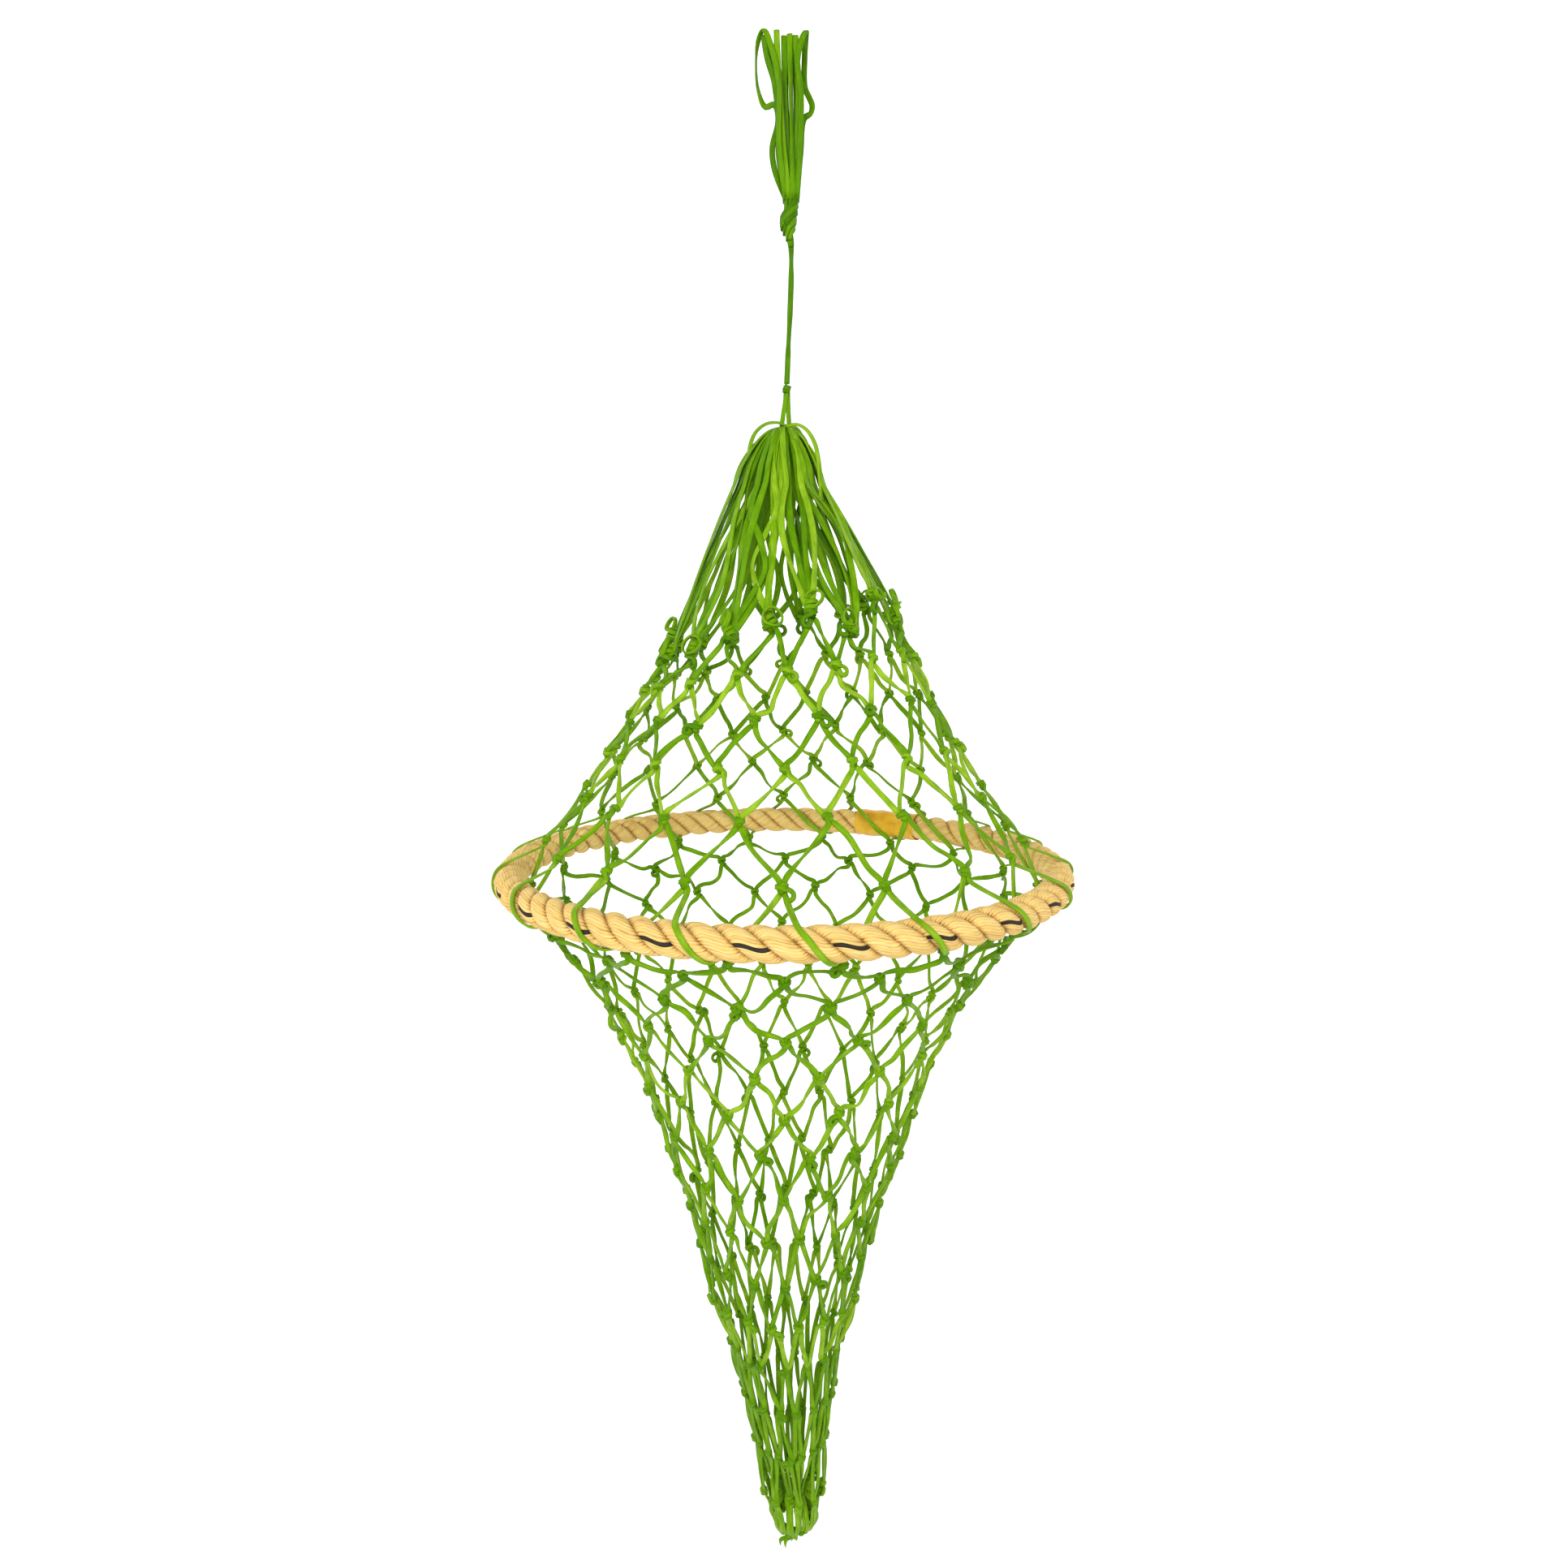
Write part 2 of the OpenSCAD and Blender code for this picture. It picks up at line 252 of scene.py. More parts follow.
def wound(strips, centre, axis, radius, turns, rise, width, thick, start=0.0, wobble=0.05, swell=0.0,
          tone=None):
    """A ribbon wound round an axis, as in a hard-pulled knot, with painted shade on it. Its radius swells in
    the middle of its height.
    """
    side = unit(np.cross(axis, [0.3, 1, 0.1]))
    other = np.cross(axis, side)
    rows = []
    steps = max(int(turns * 10), 6)
    for i in range(steps + 1):
        share = i / steps
        turn = start + 2 * math.pi * turns * share
        out = side * math.cos(turn) + other * math.sin(turn)
        r = (radius + swell * math.sin(math.pi * share)) * (1 + wobble * math.sin(2.3 * turn + start))
        place = centre + out * r + axis * rise * (share - 0.5)
        rows.append(point(place, out, width, thick, 0.85))
    strips.add(smooth(rows, 1.2, 4), tone)


# ---- Materials ----

class Nodes:
    """A material with a Principled surface, and short ways to add nodes to it."""

    def __init__(self, name, roughness, **sockets):
        self.material = bpy.data.materials.new(name)
        self.material.use_nodes = True
        self.tree = self.material.node_tree
        self.surface = self.tree.nodes["Principled BSDF"]
        self.surface.inputs["Roughness"].default_value = roughness
        for label, value in sockets.items():
            self.surface.inputs[label.replace("_", " ")].default_value = value

    def add(self, kind, **values):
        node = self.tree.nodes.new(kind)
        for label, value in values.items():
            setattr(node, label, value)
        return node

    def link(self, start, end):
        self.tree.links.new(start, end)

    def attribute(self, label):
        return self.add("ShaderNodeAttribute", attribute_name=label).outputs["Fac"]

    def scaled_uv(self, across, along):
        mapping = self.add("ShaderNodeMapping")
        mapping.inputs["Scale"].default_value = (across, along, 1)
        self.link(self.add("ShaderNodeUVMap", uv_map="UVMap").outputs["UV"], mapping.inputs["Vector"])
        return mapping.outputs["Vector"]

    def noise(self, across, along, detail):
        """Noise on the UV map: its scale across and along the piece, and its depth of detail."""
        node = self.add("ShaderNodeTexNoise")
        node.inputs["Scale"].default_value = 1
        node.inputs["Detail"].default_value = detail
        self.link(self.scaled_uv(across, along), node.inputs["Vector"])
        return node.outputs["Fac"]

    def math(self, operation, first, second):
        node = self.add("ShaderNodeMath", operation=operation)
        for socket, value in zip(node.inputs, (first, second)):
            if isinstance(value, (int, float)):
                socket.default_value = value
            else:
                self.link(value, socket)
        return node.outputs["Value"]

    def colour(self, value, stops):
        """Gives the surface its colour, from a ramp over a value."""
        node = self.add("ShaderNodeValToRGB")
        elements = node.color_ramp.elements
        while len(elements) < len(stops):
            elements.new(0.5)
        for element, (place, colour) in zip(elements, stops):
            element.position = place
            element.color = (*colour, 1)
        self.link(value, node.inputs["Fac"])
        self.link(node.outputs["Color"], self.surface.inputs["Base Color"])

    def bump(self, height, strength, distance):
        node = self.add("ShaderNodeBump")
        node.inputs["Strength"].default_value = strength
        node.inputs["Distance"].default_value = distance
        self.link(height, node.inputs["Height"])
        self.link(node.outputs["Normal"], self.surface.inputs["Normal"])


def twine_material(name, shade):
    """Split film twine: long fine filaments, and painted shade where it is tied in knots and turns. The shade
    value makes the whole copy lighter or darker, to paint light and shade on whole parts.
    """
    m = Nodes(name, 0.42, Specular_IOR_Level=0.12, Specular_Tint=(0.75, 1, 0.3, 1))
    filaments = m.noise(26, 120, 4)
    patches = m.noise(2, 90, 2)
    tone = m.math("MULTIPLY", m.attribute("strand"), 0.27)
    tone = m.math("ADD", tone, m.math("MULTIPLY", filaments, 0.5))
    tone = m.math("ADD", tone, m.math("MULTIPLY", patches, 0.42))
    # Painted shade: the twine is darkened where it is tied in knots and turns
    tone = m.math("SUBTRACT", tone, m.math("MULTIPLY", m.attribute("tight"), 0.12))
    tone = m.math("ADD", tone, shade)
    stops = ((0.12, (0.024, 0.098, 0.001)), (0.36, (0.074, 0.212, 0.001)), (0.58, (0.150, 0.330, 0.003)),
             (0.84, (0.350, 0.540, 0.030)))
    m.colour(tone, stops)
    m.bump(filaments, 0.55, 0.0004)
    return m.material


def rope_material():
    """Laid fibre rope: fine yarns with pale and brown lengths, and painted shade in the hollows between yarns
    and between strands.
    """
    m = Nodes("rope_fibre", 0.85, Specular_IOR_Level=0.1, Sheen_Weight=0.1, Sheen_Roughness=0.5,
              Sheen_Tint=(1, 0.85, 0.6, 1))
    fibres = m.noise(90, 160, 4)
    yarns = m.noise(14, 12, 1)
    tone = m.math("ADD", m.math("MULTIPLY", fibres, 0.62), m.math("MULTIPLY", yarns, 0.45))
    # Painted shade in the rope's hollows
    tone = m.math("SUBTRACT", tone, m.math("MULTIPLY", m.attribute("hollow_shade"), 0.42))
    stops = ((0.12, (0.230, 0.110, 0.024)), (0.34, (0.660, 0.400, 0.110)), (0.52, (0.860, 0.600, 0.195)),
             (0.80, (0.970, 0.790, 0.400)))
    m.colour(tone, stops)
    m.bump(fibres, 0.6, 0.0005)
    return m.material


def tracer_material():
    """The black tracer yarn in one strand of the rope."""
    m = Nodes("tracer_yarn", 0.75, Specular_IOR_Level=0.3)
    fibres = m.noise(90, 160, 4)
    stops = ((0.3, (0.006, 0.005, 0.004)), (0.7, (0.045, 0.032, 0.020)))
    m.colour(fibres, stops)
    m.bump(fibres, 0.6, 0.0005)
    return m.material


def tape_material():
    """Satin adhesive tape, a little mottled."""
    m = Nodes("tape_film", 0.38, Specular_IOR_Level=0.25, Coat_Weight=0.06, Coat_Roughness=0.3)
    mottle = m.noise(6, 90, 4)
    stops = ((0.30, (0.600, 0.290, 0.012)), (0.52, (0.780, 0.430, 0.020)), (0.75, (0.880, 0.550, 0.045)))
    m.colour(mottle, stops)
    m.bump(m.noise(30, 500, 3), 0.25, 0.0003)
    return m.material


# Three copies of one twine that differ only in painted light: the tied parts get a little painted shade, and
# the hanging loops and their knot get more
twine = twine_material("lit_twine", 0.02)
shaded_twine = twine_material("shaded_twine", -0.05)
deep_shaded_twine = twine_material("deep_shaded_twine", -0.15)
rope_fibre = rope_material()
tracer_yarn = tracer_material()
tape_film = tape_material()

# ---- Cords: the hanging loops and the drop cord ----

loop_width = 3.5
line_width = 3.4
bundle_x = 4  # the bundle hangs a little to the right of the bar's middle
on_bar_z = -12  # a loop lies on the bar above this height

# Routes of the loops over the bar, from the front of the knot to its back: x, y and the depth under the bar
loop_routes = [
    [[-3.2, -6, 60], [-3.2, -8.2, 30], [-8, -6, 8], [-12, -3, -1], [-15, 1, 3], [-16.4, 4, 14],
     [-15, 5.4, 28], [-11, 6, 36], [-6, 5, 35], [-4, 4.4, 45], [-3.8, 4.4, 62]],
    [[-5.6, -3.4, 74], [-7, -3.2, 62], [-3.6, -3.6, 48], [-5.6, -4.2, 28], [-10, -4.4, 14],
     [-11.6, -2.4, 2], [-10.4, 2.4, 2], [-7.4, 6.4, 14], [-4.4, 7.4, 32], [-1, 5.6, 62]],
    [[-0.4, -4.4, 62], [-2.4, -5.4, 32], [-4.2, -5.2, 8], [-4.4, -2.6, -0.6], [-4.4, 2.6, -0.6],
     [-4.2, 5.2, 8], [-1.4, 4.6, 32], [0.6, 2.4, 62]],
    [[2, -2, 62], [0.4, -5.6, 32], [-0.2, -5.2, 9], [-0.2, -2.6, 2.4], [-0.2, 2.6, 2.4], [0, 5.2, 9],
     [1.2, 5.6, 32], [2.8, 4.6, 62]],
    [[4.4, -4.6, 62], [3.6, -4.6, 32], [3, -5.2, 9], [3, -2.6, 1.4], [3, 2.6, 1.4], [3.2, 5.2, 9],
     [4, 4.4, 32], [4.6, 2.2, 62]],
    [[6.8, -2, 62], [8, -4.4, 40], [8, -4.8, 24], [6.6, -5.2, 9], [6.4, -2.6, 2.2], [6.4, 2.6, 2.2],
     [6.6, 5.2, 9], [7, 5.4, 32], [6.8, 4.6, 62]],
    [[9, -4, 62], [9.4, -6.6, 32], [7.4, -7.6, 18], [10.4, -5.6, 4], [12.4, -2.4, -0.4], [12.4, 2.4, 0],
     [11.8, 5, 9], [12, 5, 26], [14.6, 4.2, 32], [16.2, 2.4, 37], [15, 0.6, 42], [11.6, 1.6, 44],
     [9.6, 2, 62]]]

# The drop cord: x, and the share of its drop
line_route = [[4, 0], [4.1, 0.1], [4, 0.25], [3.6, 0.4], [3.1, 0.55], [2.5, 0.7], [2, 0.85], [1.5, 1]]
line_drop = 77.1
line_start_z = line_top_z - 0.1


def leg_end(n):
    """Where a leg of a loop enters the knot: its own place in a block of four by four."""
    return [bundle_x + 2.2 * (n // 4 - 1.5), 2.2 * (n % 4 - 1.5), knot_top_z + 0.4]


def cord_piece(name, rows, node):
    """A single ribbon, made into the piece for a cord's CAD node."""
    strips = Strips(12)
    line = strips.add(rows)
    piece = ribbon_piece(strips, name, deep_shaded_twine, node)
    return piece


def hanging_loop(k):
    """One loop over the bar. Its flat side lies on the bar, and the ribbon twists as it hangs."""
    front = (k - 1) // 2 * 4 + (k - 1) % 2
    over_bar = [[x, y, -down] for x, y, down in loop_routes[k - 1]]
    route = np.array([leg_end(front)] + over_bar + [leg_end(front + 2)], float)
    centre = route[:, :2].mean(axis=0)
    rows = []
    sway = rng.uniform(-70, 70)
    for i, place in enumerate(route):
        on_bar = place[2] > on_bar_z
        out = vector(0.25 * (place[0] - centre[0]), place[1] - centre[1], 0)
        if on_bar:
            out += vector(0, 0, 9 + place[2] * 0.5)
        share = i / (len(route) - 1)
        twist = sway * math.sin(share * math.pi * 3) * (0.2 if on_bar else 1)
        facing = turned(unit(out), unit(vector(0, 0.1, 1)), twist)
        rows.append(point(place, facing, loop_width, 1.3, 0.1))
    node = f"hanging_loop_{k}"
    piece = cord_piece(node + "_twine", smooth(rows, 1.5, 6), node)
    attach(piece, "hanger")


def drop_cord():
    """The single cord under the loops. Its flat side turns to and fro."""
    rows = []
    for i, (x, share) in enumerate(line_route):
        facing = turned(vector(0.3, -1.0, 0), z_axis, 38 * math.sin(i * 1.7))
        rows.append(point([x, 0, line_start_z - share * line_drop], facing, line_width, 1.7, 0.25))
    piece = cord_piece("drop_cord_twine", smooth(rows, 1.2, 10), "drop_cord")
    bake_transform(piece)


for number in range(1, len(loop_routes) + 1):
    hanging_loop(number)
drop_cord()

# ---- Knots of the net, read from the frame ----

knot_sizes = (5, 12)  # a knot's least and greatest extent
knot_stretch = 1.25  # a knot is at most this much longer than it is wide


def islands(node):
    """Centre and size of each separate solid in a CAD node, in millimetres."""
    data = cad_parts[node].data
    places = np.empty(len(data.vertices) * 3)
    data.vertices.foreach_get("co", places)
    places = places.reshape(-1, 3) / MM
    merged, index = np.unique(np.round(places, 2), axis=0, return_inverse=True)
    index = index.ravel()
    edges = np.empty(len(data.edges) * 2, int)
    data.edges.foreach_get("vertices", edges)
    edges = index[edges].reshape(-1, 2)
    label = np.arange(len(merged))
    while True:
        lower = np.minimum(label[edges[:, 0]], label[edges[:, 1]])
        new = label.copy()
        np.minimum.at(new, edges[:, 0], lower)
        np.minimum.at(new, edges[:, 1], lower)
        new = new[new]
        if (new == label).all():
            break
        label = new
    solids = [merged[label == i] for i in np.unique(label)]
    return [((s.min(axis=0) + s.max(axis=0)) / 2, s.max(axis=0) - s.min(axis=0)) for s in solids]


def knot_centres(node):
    """Centres of a node's knots. A knot is about as wide as it is high, and a bar isn't."""
    least, most = knot_sizes
    centres = []
    for centre, size in islands(node):
        if size.min() > least and size.max() < min(knot_stretch * size.min(), most):
            centres.append(centre)
    return centres


def by_azimuth(row, centres):
    """A row's knots by azimuth from the front. Odd rows start there, and even rows half a pitch on."""
    middle = np.mean(centres, axis=0)
    start = 0.5 if row % 2 == 0 else 0
    placed = {}
    for centre in centres:
        azimuth = math.degrees(math.atan2(centre[1] - middle[1], centre[0] - middle[0]))
        placed[round((azimuth + 90) / pitch - start) % mesh_count] = centre
    return [placed[k] for k in range(mesh_count)]


def read_rows():
    """The centres of each row's knots. The hoop course holds two rows, one on each side of the rope."""
    rows = {row: knot_centres(f"cone_course_{row + 1}") for row in range(hoop_row)}
    hoop_knots = knot_centres("hoop_course")
    rows[hoop_row] = [c for c in hoop_knots if c[2] > hoop_z + rope_r]
    rows[hoop_row + 1] = [c for c in hoop_knots if c[2] < hoop_z - rope_r]
    for row in range(hoop_row + 2, last_row + 1):
        rows[row] = knot_centres(f"tail_course_{row - hoop_row - 1}")
    return {row: by_azimuth(row, centres) for row, centres in rows.items()}


rows_of_knots = read_rows()
middles = {row: np.mean(centres, axis=0) for row, centres in rows_of_knots.items()}


def row_radius(row):
    return np.mean([np.linalg.norm((centre - middles[row])[:2]) for centre in rows_of_knots[row]])


# Radius and height of the net at each row, and at one place above and one below them
profile = {row: (row_radius(row), middles[row][2]) for row in rows_of_knots}
profile[-1] = (24, crown_z - 19)
profile[last_row + 1] = (9, end_z + 13)


def local_axes(row, k):
    """Directions at a knot: round the net, up along it, and out from it."""
    place = rows_of_knots[row][k]
    out = unit(vector(place[0] - middles[row][0], place[1] - middles[row][1], 0))
    (r_up, z_up), (r_down, z_down) = profile[row - 1], profile[row + 1]
    up = unit(out * (r_up - r_down) + vector(0, 0, z_up - z_down))
    round_net = vector(-out[1], out[0], 0)
    return round_net, up, np.cross(round_net, up)


ring_chances = [0.85, 0.6] + [0.26] * (last_row - 1)  # of a slack ring beside a knot, by row

# The top rows hang unevenly, each less than the one above it
row_tilts = (0.2, 0.13, 0.07, 0.03)  # how much a row rises for each millimetre to its right
row_scatters = (8, 2, 0, 0)  # how far its knots may lie above or below their place
row_shifts = (4, 2, 1, 0)  # how far it hangs to the right


def looseness(row):
    """How much a row's knots may stray: most in the top row, least beside the rope and near the end."""
    if row in (hoop_row, hoop_row + 1):
        return 0.5
    return 1.6 if row == 0 else 1.0 if row < 18 else 0.6


def inset(row):
    """How far the twine pulls a row's knots in. The last rows are drawn in most."""
    share = 0.13 if row > 16 else 0.05 if row > 13 else 0
    return share * profile[row][0]


class Knot:
    """One knot of the net, with its own small turn, size and offset."""

    def __init__(self, row, k):
        round_net, up, out = local_axes(row, k)
        loose = looseness(row)
        roll, lean = rng.normal(0, 16 * loose), rng.normal(0, 10 * loose)
        self.axes = [turned(turned(v, out, roll), round_net, lean) for v in (round_net, up, out)]
        self.out = out
        slide = rng.normal(0, 1.0, 3) * loose
        outward = slide[2] * 0.5
        if row == hoop_row:
            outward = -outward
        elif row == hoop_row + 1:
            outward = -abs(outward)
        self.place = rows_of_knots[row][k] + round_net * slide[0] * 1.3 + up * slide[1] * 1.3 + out * outward
        if row < len(row_tilts):
            rise = row_tilts[row] * self.place[0] + row_scatters[row] * rng.uniform(-1, 1)
            self.place = self.place + up * rise + row_shifts[row] * x_axis
        self.place = self.place - out * inset(row)
        self.size = rng.uniform(1.2, 1.5) * (1.3 if row == 0 else 1.0 if row < 17 else 0.85)
        self.open_ring = rng.random() < ring_chances[row]
        self.mirrored = rng.random() < 0.5

    def at(self, across, up, out):
        """A place in the knot, in millimetres times its size."""
        return self.place + self.size * (self.axes[0] * across + self.axes[1] * up + self.axes[2] * out)

    def facing(self, across, up, out):
        return unit(self.axes[0] * across + self.axes[1] * up + self.axes[2] * out)


knots = {row: [Knot(row, k) for k in range(mesh_count)] for row in range(last_row + 1)}

# The bight of the upper twine in a knot: each place, and the way the flat side faces there
bight = [((-0.9, 2.5, 0), (-0.6, 0, 0.8)), ((-0.85, 0.9, 0.25), (-0.7, -0.2, 0.7)),
         ((-0.6, -0.9, 0.3), (-0.6, -0.6, 0.6)), ((0, -1.6, 0.25), (0, -0.9, 0.5)),
         ((0.6, -0.9, 0.3), (0.6, -0.6, 0.6)), ((0.85, 0.9, 0.25), (0.7, -0.2, 0.7)),
         ((0.9, 2.5, 0), (0.6, 0, 0.8))]

# The lower twine comes up through the bight, goes round its neck and out under its own turn
lap = [((-1.0, -2.7, -0.3), (0, 0, 1)), ((-0.4, -1.6, -0.9), (0, 0, 1)), ((0, -0.2, 0), (0, -0.6, 0.8)),
       ((-0.2, 0.6, 1.15), (-0.2, 0, 1)), ((0.95, 1.0, 1.1), (0.6, 0, 0.8)), ((1.75, 1.0, 0), (1, 0, 0)),
       ((0.7, 1.1, -1.15), (0.4, 0, -1)), ((-0.9, 1.0, -1.15), (-0.5, 0, -1)), ((-1.75, 0.6, 0), (-1, 0, 0)),
       ((-0.9, 0.1, 1.25), (-0.5, 0, 1)), ((0.1, -0.1, 1.3), (0, 0, 1)), ((0.9, -0.5, 1.1), (0.4, 0, 1)),
       ((1.3, -1.6, 0.5), (0.2, 0, 1)), ((1.4, -2.9, 0), (0, 0, 1))]

# A slack turn that stands open beside the knot
slack_ring = [((2.3, -0.6, 1.3), (0.3, 0.8, 0.6)), ((3.9, -1.7, 1.3), (0.9, 0.1, 0.4)),
              ((4.0, -3.4, 1.1), (0.8, -0.6, 0.3)), ((2.6, -4.3, 0.9), (-0.1, -0.9, 0.4)),
              ((1.3, -3.2, 1.0), (-0.8, -0.2, 0.6)), ((1.2, -1.9, 0.3), (-0.3, 0.2, 0.9))]


def lap_route(knot):
    """The lower twine's turn through a knot, in the order in which the course follows it."""
    route = lap[:-2] + slack_ring + lap[-1:] if knot.open_ring else lap
    if knot.mirrored:
        route = [((-p[0], p[1], p[2]), (-f[0], f[1], f[2])) for p, f in reversed(route)]
    return route


bar_width = 3.3
bar_thick = 1.8
first_knot = 9  # the twine of each course starts and ends at the back


def in_knot(knot, route, sign, width=bar_width, thick=bar_thick):
    """Control rows of a twine's way through a knot, pulled hard in the middle and freer at its ends. Its
    painted shade is deepest in the middle.
    """
    rows = []
    for i, (place, facing) in enumerate(route):
        if i in (0, len(route) - 1):
            section = (width, thick, 0.45)
        else:
            section = (width * 0.84, thick * 1.4, 1.0)
        rows.append(point(knot.at(*place), sign * knot.facing(*facing), *section))
    return rows


def span(start, finish, out, sign, slack):
    """Control rows of a free length between two knots, and the side that faces out where it ends.

    Slack lets it sag and sway. It also twists part of the way and back, or by half a turn."""
    line = finish - start
    heading = unit(line)
    level = unit(np.cross(heading, out))
    half_turn = rng.random() < 0.22
    twist = rng.choice([-1, 1]) * (180 if half_turn else rng.uniform(10, 65))
    sway, bow = rng.normal(0, 1.0, 2) * slack
    sag = abs(rng.normal(0.5, 0.5)) * slack
    phase = rng.uniform(0.35, 0.65)
    rows = []
    for share in (0.25, 0.5, 0.75):
        arch = math.sin(math.pi * share)
        wave = math.sin(2 * math.pi * (share + phase - 0.5))
        place = start + line * share + level * sway * (arch + 0.7 * wave)
        place = place + out * bow * arch + vector(0, 0, -sag * arch)
        turn = twist * (share if half_turn else arch)
        facing = sign * turned(unit(out), heading, turn)
        width = bar_width * rng.uniform(0.86, 1.08)
        rows.append(point(place, facing, width, bar_thick, rng.uniform(0, 0.12)))
    return rows, (-sign if half_turn else sign)


def lower_right(row, k):
    """The number of the knot in the next row down, on the right as seen from outside."""
    return (k + 1 - row % 2) % mesh_count


def course_slack(row):
    """How much a course's bars sag and sway."""
    if row == hoop_row:
        return 0.4
    return 1.1 if row < hoop_row else 1.5 if row < 11 else 0.9 if row < 14 else 0.5


# Where the outer strands cross the rope: the turn round its section, from outward at 0 to upward at 90
# degrees, and the share of the pitch that they have gone sideways
rope_crossing = ((66, 0.11), (38, 0.16), (10, 0.22), (-18, 0.28), (-46, 0.34), (-70, 0.39))
over_rope = 0.75  # from the rope's surface to the strand's middle
over_tape = 2.1
tape_margin = 2  # in degrees


def wrap_over_rope(upper_azimuth, sign):
    """Control rows of the strand that passes outside the rope, on its way to the tied row."""
    rows = []
    for turn, share in rope_crossing:
        a = upper_azimuth + share * pitch
        near_tape = abs((a - sleeve_mid + 180) % 360 - 180) < sleeve_half_arc + hoop_travel + tape_margin
        wrap_r = rope_r + (over_tape if near_tape else over_rope)
        c, s = math.cos(math.radians(turn)), math.sin(math.radians(turn))
        place = polar(hoop_r + wrap_r * c, a, hoop_z + wrap_r * s)
        rows.append(point(place, sign * unit(polar(c, a, s)), bar_width, bar_thick, 0.1))
    return rows


def net_course(strips, row):
    """One twine right round the net: a turn in each knot of this row, and a bight in each of the next.

    At the hoop, one strand of each mesh passes outside the rope and the other inside."""
    rows, sign = [], 1
    slack = course_slack(row)
    for step in range(mesh_count):
        k = (first_knot + step) % mesh_count
        upper, lower = knots[row][k], knots[row + 1][lower_right(row, k)]
        after = knots[row][(k + 1) % mesh_count]
        turn_here, turn_after = lap_route(upper), lap_route(after)
        rows += in_knot(upper, turn_here, sign)
        if row == hoop_row:
            rows += wrap_over_rope(-90 + pitch * k, sign)
        else:
            bars, sign = span(upper.at(*turn_here[-1][0]), lower.at(*bight[0][0]), upper.out, sign, slack)
            rows += bars
        rows += in_knot(lower, bight, sign)
        bars, sign = span(lower.at(*bight[-1][0]), after.at(*turn_after[0][0]), lower.out, sign, slack)
        rows += bars
    first = knots[row][first_knot]
    rows += in_knot(first, lap_route(first)[:4], sign)
    strips.add(smooth(rows, 0.8, 5))


def course_node(row):
    """The CAD node of the course that hangs from a row."""
    if row < hoop_row:
        return f"cone_course_{row + 1}"
    return "hoop_course" if row == hoop_row else f"tail_course_{row - hoop_row}"


def make_courses():
    """Makes each course. The first five under the hoop ride on no body; their placing is baked into their
    meshes.
    """
    for row in range(last_row):
        strips = Strips()
        net_course(strips, row)
        node = course_node(row)
        piece = ribbon_piece(strips, node + "_twine", twine, node)
        if row <= hoop_row:
            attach(piece, "cone_net")
        elif row <= hoop_row + 5:
            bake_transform(piece)
        else:
            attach(piece, "tail")


make_courses()

# ---- Crown ----

clew_width = 3.9
clew_thick = 1.2
ribbons_per_knot = 2

# Radius and depth under the crown of the line that the strands follow over its shoulder
shoulder = ((2.2, 0.5), (7.5, 2.5), (13, 7), (18, 14), (23.5, 24), (28, 36))


# Shares of the way from the shoulder to the knot at which a strand has its control rows
leg_shares = (0.2, 0.4, 0.6, 0.8, 0.93)


def lopsided(r, a):
    """The bundle stands out further on its left than on its right."""
    return r * (1 - 0.13 * math.cos(math.radians(a)))


def clew_leg(knot, azimuth, reverse):
    """Control rows from the crown, over its shoulder, to the start of a knot's bight."""
    spread = rng.normal(0, 4.5)
    drift = rng.normal(0, 9)
    layer = rng.uniform(0.7, 1.06)
    slack = rng.normal(0, 1) * (9 if rng.random() < 0.25 else 3)
    waves = rng.uniform(4, 8)
    route = []
    for i, (r, depth) in enumerate(shoulder):
        a = azimuth + spread * (3 - 0.4 * i)
        r = r * (1 + (layer - 1) * min(i / 2, 1))
        z = crown_z - depth - 1.5 * (1 - layer)
        route.append((lopsided(r, a), a, z, 1 / (1 + i)))
    top_r, top_a, top_z, _ = route[-1]
    end = knot.at(*bight[-1 if reverse else 0][0])
    end_r, end_a = np.linalg.norm(end[:2]), math.degrees(math.atan2(end[1], end[0]))
    swing = (end_a - top_a + 180) % 360 - 180
    for share in leg_shares:
        r = top_r + (end_r - top_r) * share + 3 * math.sin(math.pi * share) * (layer - 0.7)
        a = top_a + swing * share + slack * math.sin(waves * share) * (1 - share)
        a += drift * math.sin(math.pi * share)
        route.append((r, a, top_z + (end[2] - top_z) * share, 0.1))
    twist = rng.normal(0, 26)
    rows = []
    for i, (r, a, z, flat) in enumerate(route):
        out = unit(polar(1, a, 0.35 + 2 * flat))
        heading = unit(polar(0.45, a, -1))
        facing = turned(out, heading, twist * math.sin(1.3 * i))
        # Painted shade is deepest in the first two rows, where the strands crowd under the crown
        rows.append(point(polar(r, a, z), facing, clew_width * rng.uniform(0.82, 1.12), clew_thick,
                          0.6 if i < 2 else 0.1))
    return rows[::-1] if reverse else rows


def hitches(strips, knot, azimuth):
    """The extra turns over the strands just above a top knot, and a slack ring that stands beside them. Both
    get the lightest twine tone, as painted light.
    """
    up = unit(polar(-0.45, azimuth, 1))
    above = knot.place + up * 4.2
    tilt = turned(up, knot.out, rng.uniform(-35, 35))
    # Painted light: these turns and the ring below get the lightest tone of the twine
    wound(strips, above, tilt, 3.2, rng.uniform(1.4, 2.3), 6.5, 2.9, 1.7, start=rng.uniform(0, 6), tone=0.9)
    if rng.random() < 0.85:
        face = turned(knot.out, up, rng.uniform(-45, 45))
        slack_r = rng.uniform(3.6, 5.8)
        aside = knot.axes[0] * rng.choice([-1, 1]) * slack_r * 0.4
        centre = above + up * rng.uniform(-2, 6) + aside + knot.out * 3.5
        wound(strips, centre, face, slack_r, 1.15, 2.0, 2.9, 1.6, start=rng.uniform(0, 6), wobble=0.1,
              tone=1.0)


